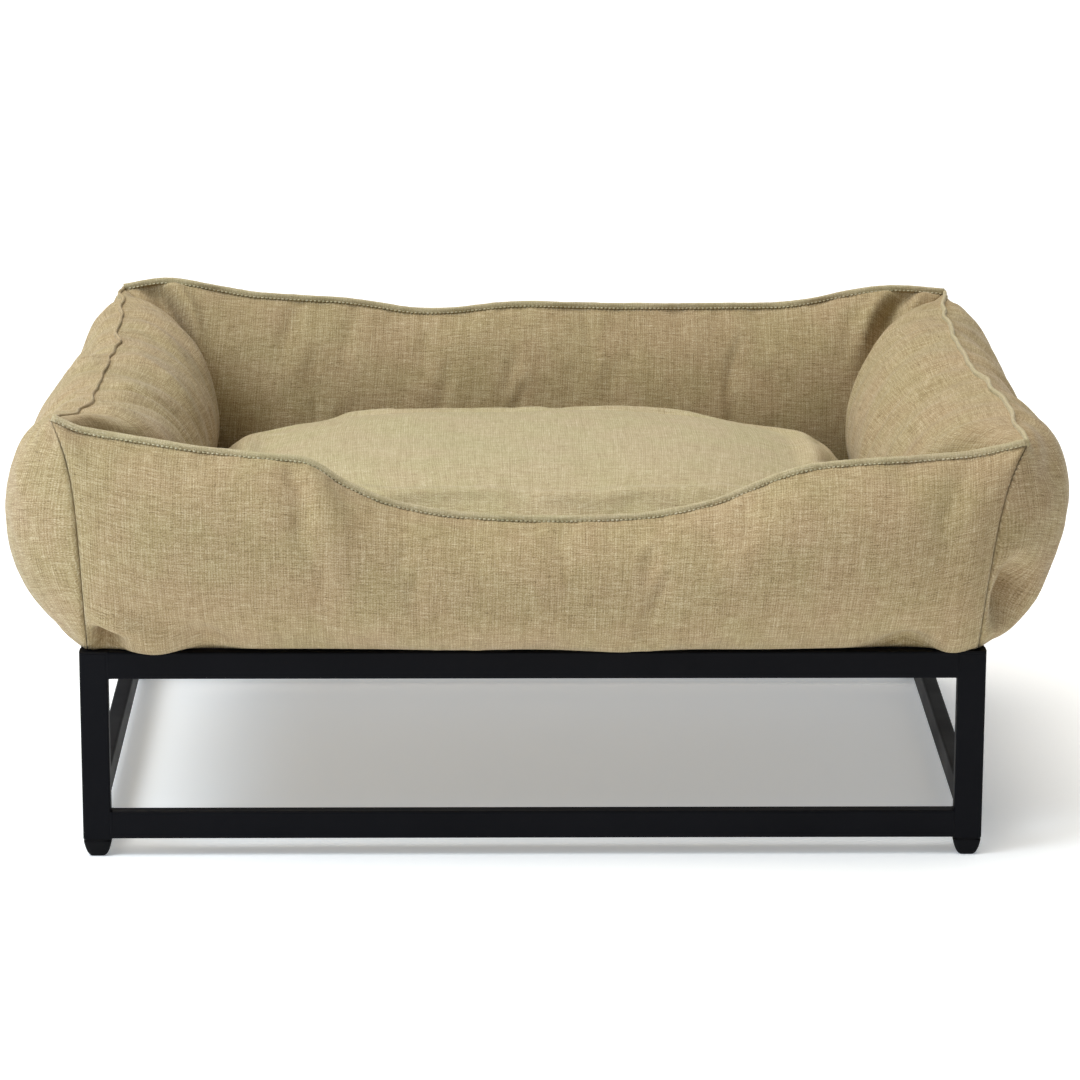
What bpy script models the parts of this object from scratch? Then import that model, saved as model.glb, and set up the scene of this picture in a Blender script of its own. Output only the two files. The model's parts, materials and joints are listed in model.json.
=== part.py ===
"""A raised dog bed: a four-walled bolster bed with a loose cushion, standing on a welded steel tube frame.

Metres, +Z up. The origin is on the floor, under the middle of the bed. -Y is the front, where the wall dips.
"""

import math

import bmesh
import bpy
from mathutils import Matrix, Vector

# Frame: flat rectangular tube, its wide face outwards.
FRAME_WIDTH = 0.800
FRAME_DEPTH = 0.560
FRAME_TOP = 0.190
TUBE_WIDE = 0.025
TUBE_THIN = 0.015
TUBE_WALL = 0.0012
TUBE_ROUND = 0.002
ROUND_STEPS = 3
SLAT_WIDE = 0.020
SLAT_THIN = 0.010
SLAT_COUNT = 5
SLAT_PITCH = 0.130

# Plastic ends of the posts.
GLIDE_HEIGHT = 0.017
GLIDE_NECK = 0.0025
GLIDE_STEPS = 6
GLIDE_FOOT_SHARE = 0.46
SPIGOT_LENGTH = 0.014
SPIGOT_PLAY = 0.0004
PLUG_FLANGE = 0.0015

# Bolster walls. The rim is the line of the top seam.
RIM_HALF_X = 0.415
RIM_HALF_Y = 0.275
RIM_CORNER_Z = 0.398
RIM_REAR_DIP = 0.014
RIM_SIDE_DIP = 0.010
RIM_FRONT_DIP = 0.034
SCOOP_DEPTH = 0.052
SCOOP_HALF_SHARE = 0.52
SCOOP_POWER = 2.8
CORNER_BULGE_OUT = 0.010
CORNER_BULGE_IN = 0.050
BULGE_REACH = 0.125
WALL_BULGES = {"front": (0.058, 0.060), "rear": (0.058, 0.058), "left": (0.065, 0.104), "right": (0.065, 0.104)}
WALL_TURNS = {"front": 0, "right": 1, "rear": 2, "left": 3}
WALL_STATIONS = 17
STATION_CROWDING = 0.4
WALL_SIDE_POINTS = 7
BELLY_LOW = 0.5
BELLY_HIGH = 0.9
FOOT_SHARE = 0.008
MITRE_GAP = 0.0003

# Soft layers.
CLOTH = 0.0015
FILL_SHRINK = 0.0030
PEAK_SHRINK = 5.0
PIPING_RADIUS = 0.0025

# Base of the bed, inside the walls.
BASE_HALF_X = 0.324
BASE_HALF_Y = 0.220
BASE_THICK = 0.024
BASE_ROUND = 0.030
BASE_EDGE = 0.005
BASE_SLIT = (0.360, 0.020)

# Loose cushion.
CUSHION_HALF_X = 0.308
CUSHION_HALF_Y = 0.204
CUSHION_SEAM_RISE = 0.040
CUSHION_DOME = 0.074
CUSHION_POWER = 4.5
CUSHION_POINTS = 32
CUSHION_RINGS = (1.0, 0.93, 0.80, 0.60, 0.36, 0.14)
CUSHION_UNDER = (0.97, 0.90)

# Zip along the cushion's rear edge.
ZIP_LENGTH = 0.400
ZIP_TAPE_HEIGHT = 0.012
ZIP_TAPE_THICK = 0.0014
SLIDER_SIZE = (0.010, 0.0026, 0.007)
SLIDER_X = -0.190
PULL_LENGTH = 0.020
PULL_WIDE = 0.005
PULL_THICK = 0.0012

GAP = 0.0003

STEEL_BLACK = ("powder_coated_steel", (0.012, 0.013, 0.016), 0.45, 0.3)
PLASTIC_BLACK = ("black_plastic", (0.015, 0.015, 0.017), 0.55, 0.0)
LINEN_SAND = ("sand_linen", (0.42, 0.34, 0.20), 0.90, 0.0)
FIBRE_WHITE = ("white_fibre", (0.85, 0.85, 0.82), 0.95, 0.0)
FOAM_GREY = ("grey_foam", (0.45, 0.45, 0.46), 0.95, 0.0)
ZIP_SAND = ("sand_zip_tape", (0.36, 0.29, 0.18), 0.80, 0.0)
ZIP_METAL = ("zip_metal", (0.45, 0.42, 0.36), 0.35, 0.9)


def clear_scene():
    """Removes every object of the scene that is open."""
    for found in list(bpy.data.objects):
        bpy.data.objects.remove(found, do_unlink=True)


def finish_of(finish):
    """The material of a finish, made the first time that it is asked for."""
    name, colour, roughness, metallic = finish
    material = bpy.data.materials.get(name)
    if material is None:
        material = bpy.data.materials.new(name)
        material.use_nodes = True
        shader = material.node_tree.nodes["Principled BSDF"]
        shader.inputs["Base Color"].default_value = (*colour, 1.0)
        shader.inputs["Roughness"].default_value = roughness
        shader.inputs["Metallic"].default_value = metallic
        material.diffuse_color = (*colour, 1.0)
    return material


def group_empty(name, location):
    """An empty that holds the pieces of one body."""
    empty = bpy.data.objects.new(name, None)
    empty.location = location
    bpy.context.scene.collection.objects.link(empty)
    return empty


def add_piece(name, shape, finish, parent, location=(0.0, 0.0, 0.0), turn=None, smooth_deg=40.0):
    """An object from a bmesh. Its place is given in the world, whatever its parent."""
    bmesh.ops.recalc_face_normals(shape, faces=shape.faces[:])
    mesh = bpy.data.meshes.new(name)
    shape.to_mesh(mesh)
    shape.free()
    mesh.materials.append(finish_of(finish))
    mesh.shade_smooth()
    mesh.set_sharp_from_angle(angle=math.radians(smooth_deg))
    piece = bpy.data.objects.new(name, mesh)
    bpy.context.scene.collection.objects.link(piece)
    piece.parent = parent
    piece.location = Vector(location) - parent.location
    if turn is not None:
        piece.rotation_euler = turn.to_euler()
    return piece


def rounded_rectangle(width, height, radius):
    """The corner points of a rectangle with round corners, anticlockwise from the lower right."""
    points = []
    for quarter, (side_x, side_y) in enumerate(((1, -1), (1, 1), (-1, 1), (-1, -1))):
        centre_x = side_x * (width / 2 - radius)
        centre_y = side_y * (height / 2 - radius)
        for step in range(ROUND_STEPS + 1):
            angle = math.radians(90 * (quarter - 1) + 90 * step / ROUND_STEPS)
            points.append((centre_x + radius * math.cos(angle), centre_y + radius * math.sin(angle)))
    return points


def ring_of(shape, outline, z):
    """Vertices at one height, along an outline."""
    return [shape.verts.new((x, y, z)) for x, y in outline]


def skin(shape, first, second):
    """Faces between two closed rings with the same number of points."""
    count = len(first)
    for i in range(count):
        shape.faces.new((first[i], first[(i + 1) % count], second[(i + 1) % count], second[i]))


def tube_shape(length, wide, thin):
    """A hollow tube along Z, open at both ends, centred on the origin."""
    shape = bmesh.new()
    outer = rounded_rectangle(wide, thin, TUBE_ROUND)
    inner = rounded_rectangle(wide - 2 * TUBE_WALL, thin - 2 * TUBE_WALL, TUBE_ROUND - TUBE_WALL)
    rings = [
        ring_of(shape, outer, -length / 2),
        ring_of(shape, outer, length / 2),
        ring_of(shape, inner, length / 2),
        ring_of(shape, inner, -length / 2),
    ]
    for index, ring in enumerate(rings):
        skin(shape, ring, rings[(index + 1) % len(rings)])
    return shape


def stacked_shape(levels):
    """A solid with flat ends, skinned through (width, depth, radius, z) levels from the bottom up."""
    shape = bmesh.new()
    rings = [ring_of(shape, rounded_rectangle(wide, deep, radius), z) for wide, deep, radius, z in levels]
    for lower, upper in zip(rings, rings[1:]):
        skin(shape, lower, upper)
    shape.faces.new(rings[0][::-1])
    shape.faces.new(rings[-1])
    return shape


def spigot_levels(start_z, end_z):
    """The part of a plastic end that is pushed into a post."""
    wide = TUBE_WIDE - 2 * TUBE_WALL - 2 * SPIGOT_PLAY
    thin = TUBE_THIN - 2 * TUBE_WALL - 2 * SPIGOT_PLAY
    radius = TUBE_ROUND - TUBE_WALL
    return [(wide, thin, radius, start_z), (wide, thin, radius, end_z)]


def glide_shape():
    """A bowl-shaped foot with a flat sole, a narrow neck under the post and a spigot inside it."""
    levels = []
    belly_top = GLIDE_HEIGHT - GAP - GLIDE_NECK
    for step in range(GLIDE_STEPS + 1):
        rise = step / GLIDE_STEPS
        share = GLIDE_FOOT_SHARE + (1 - GLIDE_FOOT_SHARE) * math.sin(rise * math.pi / 2) ** 0.8
        radius = TUBE_ROUND + 0.35 * TUBE_THIN * share * (1 - rise)
        levels.append((TUBE_WIDE * share, TUBE_THIN * share, radius, belly_top * (1 - math.cos(rise * math.pi / 2))))
    neck = (TUBE_WIDE - 0.0024, TUBE_THIN - 0.0024, TUBE_ROUND)
    levels.append((*neck, belly_top + 0.0006))
    levels.append((*neck, GLIDE_HEIGHT - GAP))
    levels += spigot_levels(GLIDE_HEIGHT - GAP, GLIDE_HEIGHT + SPIGOT_LENGTH)
    return stacked_shape(levels)


def plug_shape():
    """A flat cap with a spigot, its top face at the origin."""
    levels = spigot_levels(-PLUG_FLANGE - SPIGOT_LENGTH, -PLUG_FLANGE)
    levels.append((TUBE_WIDE, TUBE_THIN, TUBE_ROUND, -PLUG_FLANGE))
    levels.append((TUBE_WIDE, TUBE_THIN, TUBE_ROUND, 0.0))
    return stacked_shape(levels)


# Turns that lay a tube along X or Y with its wide face upright, and a slat along Y with its wide face up.
ALONG_X = Matrix(((0, 0, 1), (0, 1, 0), (-1, 0, 0)))
ALONG_Y = Matrix(((0, 1, 0), (0, 0, 1), (1, 0, 0)))
ALONG_Y_FLAT = Matrix(((1, 0, 0), (0, 0, 1), (0, -1, 0)))


def make_posts(frame):
    """Four corner posts, each with a glide under it and a plug in its top."""
    post_x = (FRAME_WIDTH - TUBE_WIDE) / 2
    post_y = (FRAME_DEPTH - TUBE_THIN) / 2
    top = FRAME_TOP - PLUG_FLANGE - GAP
    for end, sign_y in (("front", -1), ("rear", 1)):
        for side, sign_x in (("left", -1), ("right", 1)):
            where = f"{end}_{side}"
            x = sign_x * post_x
            y = sign_y * post_y
            post = tube_shape(top - GLIDE_HEIGHT, TUBE_WIDE, TUBE_THIN)
            add_piece(f"corner_post_{where}", post, STEEL_BLACK, frame, (x, y, (top + GLIDE_HEIGHT) / 2))
            add_piece(f"foot_glide_{where}", glide_shape(), PLASTIC_BLACK, frame, (x, y, 0.0))
            add_piece(f"post_plug_{where}", plug_shape(), PLASTIC_BLACK, frame, (x, y, FRAME_TOP))


def make_rails(frame):
    """Top and bottom rails between the posts, their outer faces flush with them."""
    long_length = FRAME_WIDTH - 2 * TUBE_WIDE - 2 * GAP
    short_length = FRAME_DEPTH - 2 * TUBE_THIN - 2 * GAP
    rail_y = (FRAME_DEPTH - TUBE_THIN) / 2
    rail_x = (FRAME_WIDTH - TUBE_THIN) / 2
    heights = (("top", FRAME_TOP - TUBE_WIDE / 2), ("bottom", GLIDE_HEIGHT + TUBE_WIDE / 2))
    for level, z in heights:
        for end, sign in (("front", -1), ("rear", 1)):
            rail = tube_shape(long_length, TUBE_WIDE, TUBE_THIN)
            add_piece(f"{end}_{level}_rail", rail, STEEL_BLACK, frame, (0.0, sign * rail_y, z), ALONG_X)
        for side, sign in (("left", -1), ("right", 1)):
            rail = tube_shape(short_length, TUBE_WIDE, TUBE_THIN)
            add_piece(f"{side}_{level}_rail", rail, STEEL_BLACK, frame, (sign * rail_x, 0.0, z), ALONG_Y)


def make_slats(frame):
    """Flat cross tubes, level with the top rails, that carry the bed."""
    length = FRAME_DEPTH - 2 * TUBE_THIN - 2 * GAP
    for index in range(SLAT_COUNT):
        x = (index - (SLAT_COUNT - 1) / 2) * SLAT_PITCH
        slat = tube_shape(length, SLAT_WIDE, SLAT_THIN)
        place = (x, 0.0, FRAME_TOP - SLAT_THIN / 2)
        add_piece(f"cross_slat_{index + 1}", slat, STEEL_BLACK, frame, place, ALONG_Y_FLAT)


def rim_height(wall, t):
    """The height of a wall's top seam at t, which runs from -1 to 1 along the wall."""
    if wall == "front":
        scoop = max(0.0, 1 - abs(t / SCOOP_HALF_SHARE) ** SCOOP_POWER)
        return RIM_CORNER_Z - RIM_FRONT_DIP * (1 - t**4) - SCOOP_DEPTH * scoop
    dip = RIM_REAR_DIP if wall == "rear" else RIM_SIDE_DIP
    return RIM_CORNER_Z - dip * (1 - t * t)


def belly_share(rise):
    """A wall's half width at a share of its height: round at the foot, pinched to the seam at the top."""
    fullest = BELLY_LOW / (BELLY_LOW + BELLY_HIGH)
    most = fullest**BELLY_LOW * (1 - fullest) ** BELLY_HIGH
    return rise**BELLY_LOW * (1 - rise) ** BELLY_HIGH / most


def wall_section(wall, t, half_length, shrink):
    """One teardrop ring of a wall: (outward distance from the rim line, height) pairs from the seam round."""
    bulge_out, bulge_in = WALL_BULGES[wall]
    reach = min(1.0, (1 - abs(t)) * half_length / BULGE_REACH)
    swell = 1 - (1 - reach) ** 2
    out = CORNER_BULGE_OUT + (bulge_out - CORNER_BULGE_OUT) * swell - shrink
    into = CORNER_BULGE_IN + (bulge_in - CORNER_BULGE_IN) * swell - shrink
    low = FRAME_TOP + GAP + shrink
    high = rim_height(wall, t) - PEAK_SHRINK * shrink
    rises = [(1 + math.cos(math.pi * k / WALL_SIDE_POINTS)) / 2 for k in range(1, WALL_SIDE_POINTS)]
    outer = [(out * belly_share(rise), low + rise * (high - low)) for rise in rises]
    outer.append((out * belly_share(FOOT_SHARE), low))
    inner = [(-into / out * u, z) for u, z in reversed(outer)]
    return [(0.0, high)] + outer + inner


def wall_point(wall, t, u, corner_u, z, gap):
    """A section point in the world. A wall's ends lie in the mitre planes of the corners."""
    turns = WALL_TURNS[wall]
    along, away = (RIM_HALF_X, RIM_HALF_Y) if turns % 2 == 0 else (RIM_HALF_Y, RIM_HALF_X)
    place = Vector((t * (along + corner_u - gap), -(away + u), z))
    return Matrix.Rotation(turns * math.pi / 2, 3, "Z") @ place


def wall_half_length(wall):
    """Half the length of a wall's rim."""
    return RIM_HALF_X if WALL_TURNS[wall] % 2 == 0 else RIM_HALF_Y


def station_places():
    """Places along a wall from -1 to 1, a little closer together near its ends."""
    even = [2 * station / (WALL_STATIONS - 1) - 1 for station in range(WALL_STATIONS)]
    return [(1 - STATION_CROWDING) * s + STATION_CROWDING * math.sin(math.pi / 2 * s) for s in even]


def wall_rings(shape, wall, shrink):
    """The rings of a wall's surface, from one mitre to the other."""
    half_length = wall_half_length(wall)
    corner = wall_section(wall, 1.0, half_length, shrink)
    rings = []
    for t in station_places():
        section = wall_section(wall, t, half_length, shrink)
        ring = []
        for (u, z), (corner_u, _) in zip(section, corner):
            ring.append(shape.verts.new(wall_point(wall, t, u, corner_u, z, MITRE_GAP + shrink)))
        rings.append(ring)
    return rings


def close_rings(shape, rings):
    """A closed surface through rings, with a face on each end."""
    for first, second in zip(rings, rings[1:]):
        skin(shape, first, second)
    shape.faces.new(rings[0][::-1])
    shape.faces.new(rings[-1])


def join_through_slit(shape, outside, inside):
    """Opens the same face in an outer and an inner surface and walls the slit between them."""
    shape.faces.remove(shape.faces.get(outside))
    shape.faces.remove(shape.faces.get(inside))
    skin(shape, outside, inside)


def wall_cover_shape(wall):
    """A bolster's cloth: a thin shell, with the slit underneath that it is filled through."""
    shape = bmesh.new()
    outer = wall_rings(shape, wall, 0.0)
    inner = wall_rings(shape, wall, CLOTH)
    close_rings(shape, outer)
    close_rings(shape, inner)
    station = WALL_STATIONS // 2
    foot = WALL_SIDE_POINTS
    corners = ((station, foot), (station + 1, foot), (station + 1, foot + 1), (station, foot + 1))
    join_through_slit(shape, [outer[s][k] for s, k in corners], [inner[s][k] for s, k in corners])
    return shape


def wall_fill_shape(wall):
    """A bolster's fibre filling."""
    shape = bmesh.new()
    close_rings(shape, wall_rings(shape, wall, FILL_SHRINK))
    return shape


def make_piping(wall, bed):
    """The rolled seam that stands along a wall's rim."""
    curve = bpy.data.curves.new(f"rim_piping_{wall}", "CURVE")
    curve.dimensions = "3D"
    curve.bevel_depth = PIPING_RADIUS
    curve.bevel_resolution = 1
    curve.use_fill_caps = True
    spline = curve.splines.new("POLY")
    spline.points.add(WALL_STATIONS - 1)
    lift = PIPING_RADIUS + 2 * GAP
    for point, t in zip(spline.points, station_places()):
        place = wall_point(wall, t, 0.0, 0.0, rim_height(wall, t) + lift, PIPING_RADIUS + 2 * GAP)
        point.co = (*(place - bed.location), 1.0)
    curve.materials.append(finish_of(LINEN_SAND))
    piping = bpy.data.objects.new(f"rim_piping_{wall}", curve)
    bpy.context.scene.collection.objects.link(piping)
    piping.parent = bed


def make_walls(bed):
    """Four bolsters, mitred at the corners, each a cover, a filling and a piped seam."""
    for wall in WALL_TURNS:
        add_piece(f"{wall}_bolster_cover", wall_cover_shape(wall), LINEN_SAND, bed)
        add_piece(f"{wall}_bolster_fill", wall_fill_shape(wall), FIBRE_WHITE, bed)
        make_piping(wall, bed)


def slab_rings(shape, shrink):
    """Rings of the flat base with softened edges."""
    low = FRAME_TOP + GAP + shrink
    high = FRAME_TOP + GAP + BASE_THICK - shrink
    rings = []
    for z, pull in ((low, BASE_EDGE), (low + BASE_EDGE, 0.0), (high - BASE_EDGE, 0.0), (high, BASE_EDGE)):
        width = 2 * (BASE_HALF_X - shrink - pull)
        depth = 2 * (BASE_HALF_Y - shrink - pull)
        rings.append(ring_of(shape, rounded_rectangle(width, depth, BASE_ROUND - pull), z))
    return rings


def make_base(bed):
    """The bed's floor: a firm pad in a cloth cover with a slit underneath."""
    cover = bmesh.new()
    slit = rounded_rectangle(*BASE_SLIT, BASE_SLIT[1] / 3)
    lips = []
    for shrink in (0.0, CLOTH):
        rings = slab_rings(cover, shrink)
        lips.append(ring_of(cover, slit, FRAME_TOP + GAP + shrink))
        for first, second in zip([lips[-1], *rings], rings):
            skin(cover, first, second)
        cover.faces.new(rings[-1])
    skin(cover, *lips)
    add_piece("base_cover", cover, LINEN_SAND, bed)
    pad = bmesh.new()
    close_rings(pad, slab_rings(pad, FILL_SHRINK))
    add_piece("base_pad", pad, FOAM_GREY, bed)


def superellipse(half_x, half_y):
    """Points round a rectangle with full corners."""
    points = []
    for step in range(CUSHION_POINTS):
        angle = 2 * math.pi * (step + 0.5) / CUSHION_POINTS
        cosine = math.cos(angle)
        sine = math.sin(angle)
        x = half_x * math.copysign(abs(cosine) ** (2 / CUSHION_POWER), cosine)
        y = half_y * math.copysign(abs(sine) ** (2 / CUSHION_POWER), sine)
        points.append((x, y))
    return points


def cushion_rings(shape, shrink):
    """Rings of the cushion, from its flat underside over its seam to the top of its dome."""
    low = FRAME_TOP + 2 * GAP + BASE_THICK
    seam = low + CUSHION_SEAM_RISE
    rings = []
    for share, rise in ((CUSHION_UNDER[1], 0.0), (CUSHION_UNDER[0], 0.4)):
        outline = superellipse(CUSHION_HALF_X * share - shrink, CUSHION_HALF_Y * share - shrink)
        z = low + shrink + rise * (CUSHION_SEAM_RISE - shrink)
        rings.append(ring_of(shape, outline, z))
    for share in CUSHION_RINGS:
        outline = superellipse(CUSHION_HALF_X * share - shrink, CUSHION_HALF_Y * share - shrink)
        z = seam + (CUSHION_DOME - 2 * shrink) * (1 - share**2.4) ** 0.75
        rings.append(ring_of(shape, outline, z))
    return rings


def make_cushion(cushion):
    """The loose cushion: a domed cover with a slit behind its zip, and a fibre pillow inside it."""
    cover = bmesh.new()
    outer = cushion_rings(cover, 0.0)
    inner = cushion_rings(cover, CLOTH)
    close_rings(cover, outer)
    close_rings(cover, inner)
    rear = CUSHION_POINTS // 4
    corners = ((1, rear), (1, rear - 1), (2, rear - 1), (2, rear))
    join_through_slit(cover, [outer[r][k] for r, k in corners], [inner[r][k] for r, k in corners])
    add_piece("cushion_cover", cover, LINEN_SAND, cushion, smooth_deg=60.0)
    pillow = bmesh.new()
    close_rings(pillow, cushion_rings(pillow, FILL_SHRINK))
    add_piece("cushion_pillow", pillow, FIBRE_WHITE, cushion, smooth_deg=60.0)


def box_shape(size):
    """A box centred on the origin with narrow bevels."""
    shape = bmesh.new()
    bmesh.ops.create_cube(shape, size=1.0)
    bmesh.ops.scale(shape, vec=size, verts=shape.verts[:])
    bevel = 0.18 * min(size)
    bmesh.ops.bevel(
        shape, geom=shape.edges[:], offset=bevel, affect="EDGES", segments=1, profile=0.5, material=-1
    )
    return shape


def make_zip(cushion, slider):
    """The tape along the cushion's rear edge, with the slider and its pull."""
    seam_z = FRAME_TOP + 2 * GAP + BASE_THICK + CUSHION_SEAM_RISE
    tape_y = CUSHION_HALF_Y + GAP + ZIP_TAPE_THICK / 2
    tape = box_shape((ZIP_LENGTH, ZIP_TAPE_THICK, ZIP_TAPE_HEIGHT))
    add_piece("cushion_zip_tape", tape, ZIP_SAND, cushion, (0.0, tape_y, seam_z))
    slider_y = tape_y + (ZIP_TAPE_THICK + SLIDER_SIZE[1]) / 2 + GAP
    add_piece("zip_slider", box_shape(SLIDER_SIZE), ZIP_METAL, slider, (SLIDER_X, slider_y, seam_z))
    pull = box_shape((PULL_LENGTH, PULL_THICK, PULL_WIDE))
    pull_x = SLIDER_X + (SLIDER_SIZE[0] + PULL_LENGTH) / 2 + GAP
    add_piece("zip_pull", pull, ZIP_METAL, slider, (pull_x, slider_y, seam_z))


def main():
    """Builds the frame, the bed, the cushion and its zip."""
    clear_scene()
    frame = group_empty("frame", (0.0, 0.0, 0.0))
    bed = group_empty("bed", (0.0, 0.0, FRAME_TOP))
    cushion = group_empty("cushion", (0.0, 0.0, FRAME_TOP + BASE_THICK))
    slider = group_empty("slider", (SLIDER_X, CUSHION_HALF_Y, FRAME_TOP + BASE_THICK + CUSHION_SEAM_RISE))
    make_posts(frame)
    make_rails(frame)
    make_slats(frame)
    make_walls(bed)
    make_base(bed)
    make_cushion(cushion)
    make_zip(cushion, slider)


main()
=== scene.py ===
"""Looks of a raised dog bed: stuffed linen-look walls and cushion on a black tube frame.

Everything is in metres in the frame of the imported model. -Y is the front, where the wall dips for the dog.
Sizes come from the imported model's own boxes; the soft shapes are lofted round its rim line, puffed up as
cloth under pressure, and then given their seams and stitches.
"""

from __future__ import annotations

import json
import logging
import math
from collections.abc import Callable, Sequence
from dataclasses import dataclass, field
from enum import Enum

import bmesh
import bpy
from mathutils import Matrix, Vector, noise


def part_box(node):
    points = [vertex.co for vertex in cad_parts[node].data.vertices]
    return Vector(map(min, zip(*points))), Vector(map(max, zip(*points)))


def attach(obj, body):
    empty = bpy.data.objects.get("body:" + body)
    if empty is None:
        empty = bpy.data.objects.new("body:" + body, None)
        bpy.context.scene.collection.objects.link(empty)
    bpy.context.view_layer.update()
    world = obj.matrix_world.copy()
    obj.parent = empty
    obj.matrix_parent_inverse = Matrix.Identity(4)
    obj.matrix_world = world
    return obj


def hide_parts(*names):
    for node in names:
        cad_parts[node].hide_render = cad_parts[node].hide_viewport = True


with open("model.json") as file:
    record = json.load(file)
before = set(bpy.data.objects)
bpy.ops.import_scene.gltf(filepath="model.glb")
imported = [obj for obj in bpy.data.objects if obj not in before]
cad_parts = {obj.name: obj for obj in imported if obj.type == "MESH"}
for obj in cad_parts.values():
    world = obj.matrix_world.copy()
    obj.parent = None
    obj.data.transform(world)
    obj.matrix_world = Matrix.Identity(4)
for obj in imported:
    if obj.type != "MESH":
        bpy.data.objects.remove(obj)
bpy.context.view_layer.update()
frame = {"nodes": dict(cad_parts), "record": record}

log = logging.getLogger("dog_bed")

Place = Callable[[float, float], Vector]
Lay = Callable[[float, float], tuple[float, float]]
Knots = Sequence[tuple[float, float]]
Colour = tuple[float, float, float, float]
Tint = tuple[float, float, float]
Operand = bpy.types.NodeSocket | float | Sequence[float]
Sockets = dict[str, bpy.types.NodeSocket]

UP = Vector((0.0, 0.0, 1.0))
# Points nearer than this are joined.
MERGE = 1e-6
# A place from -1 to 1 on a sheet that is past this lies on the sheet's edge.
AT_EDGE = 0.9999


# Curves and profiles.


def smoothstep(value: float) -> float:
    """Eases a share between 0 and 1.

    Args:
        value: The share, clamped before it is eased.

    Returns:
        The eased share.
    """
    share = min(1.0, max(0.0, value))
    return share * share * (3.0 - 2.0 * share)


def along_knots(knots: Knots, at: float) -> float:
    """Reads a smooth curve through a few points.

    Args:
        knots: (place, value) pairs in rising order of place.
        at: The place to read.

    Returns:
        The value there, with flat slopes kept at turning points.
    """
    if at <= knots[0][0]:
        return knots[0][1]
    for index in range(len(knots) - 1):
        start, low = knots[index]
        end, high = knots[index + 1]
        if at > end:
            continue
        span = end - start
        slope = (high - low) / span
        before = slope
        after = slope
        if index > 0:
            behind = (low - knots[index - 1][1]) / (start - knots[index - 1][0])
            before = 0.0 if behind * slope <= 0.0 else 2.0 * behind * slope / (behind + slope)
        if index + 2 < len(knots):
            ahead = (knots[index + 2][1] - high) / (knots[index + 2][0] - end)
            after = 0.0 if ahead * slope <= 0.0 else 2.0 * ahead * slope / (ahead + slope)
        share = (at - start) / span
        square = share * share
        cube = square * share
        return (
            (2.0 * cube - 3.0 * square + 1.0) * low
            + (cube - 2.0 * square + share) * span * before
            + (3.0 * square - 2.0 * cube) * high
            + (cube - square) * span * after
        )
    return knots[-1][1]


def softened(value: float, power: float) -> float:
    """A value raised to a power with its sign kept."""
    return math.copysign(abs(value) ** power, value)


def sides_of(ahead: Vector) -> tuple[Vector, Vector]:
    """The level side and the upward side of a direction."""
    side = ahead.cross(UP).normalized()
    return side, side.cross(ahead).normalized()


# Shader graphs.


@dataclass
class Graph:
    """A node tree that is written node by node."""

    tree: bpy.types.NodeTree

    def add(
        self, kind: str, settings: dict[str, object] | None = None, **inputs: Operand
    ) -> bpy.types.Node:
        """Places a node.

        Args:
            kind: The node's type without its ShaderNode prefix.
            settings: Properties to set on the node.
            **inputs: Sockets by name, with underscores for spaces; a socket links, anything else is a value.

        Returns:
            The new node.
        """
        node = self.tree.nodes.new(kind if kind.startswith("NodeGroup") else f"ShaderNode{kind}")
        for name, value in (settings or {}).items():
            setattr(node, name, value)
        for name, value in inputs.items():
            self.feed(node, name.replace("_", " "), value)
        return node

    def feed(self, node: bpy.types.Node, name: str, value: Operand) -> None:
        """Links or sets one enabled input socket by its name."""
        self.join(next(s for s in node.inputs if s.name == name and s.enabled), value)

    def join(self, socket: bpy.types.NodeSocket, value: Operand) -> None:
        """Links a socket into an input, or sets the input's own value.

        Args:
            socket: The input.
            value: A socket to link, or a value to set.
        """
        if isinstance(value, bpy.types.NodeSocket):
            self.tree.links.new(value, socket)
        else:
            socket.default_value = value

    def maths(self, operation: str, *operands: Operand) -> bpy.types.NodeSocket:
        """Adds a Math node.

        Args:
            operation: Its operation.
            *operands: What it works on, in order.

        Returns:
            Its result.
        """
        node = self.tree.nodes.new("ShaderNodeMath")
        node.operation = operation
        for socket, value in zip(node.inputs, operands):
            self.join(socket, value)
        return node.outputs[0]

    def blend(self, share: Operand, first: Operand, second: Operand) -> bpy.types.NodeSocket:
        """Mixes two colours.

        Args:
            share: How much of the second there is.
            first: The first colour.
            second: The second colour.

        Returns:
            The mixed colour.
        """
        node = self.tree.nodes.new("ShaderNodeMix")
        node.data_type = "RGBA"
        for index, value in ((0, share), (6, first), (7, second)):
            self.join(node.inputs[index], value)
        return node.outputs[2]

    def noise(self, place: Operand, scale: float, detail: float, roughness: float) -> bpy.types.NodeSocket:
        """The value of a noise texture at a place."""
        node = self.add("TexNoise", Vector=place, Scale=scale, Detail=detail, Roughness=roughness)
        return node.outputs["Fac"]

    def vector(self, x: Operand, y: Operand, z: Operand) -> bpy.types.NodeSocket:
        """A vector from its three shares."""
        return self.add("CombineXYZ", X=x, Y=y, Z=z).outputs[0]

    def ramp(self, value: Operand, low: float, high: float) -> bpy.types.NodeSocket:
        """A value mapped from low..high to 0..1, eased and clamped."""
        eased = {"interpolation_type": "SMOOTHSTEP"}
        return self.add("MapRange", eased, Value=value, From_Min=low, From_Max=high).outputs[0]


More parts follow.
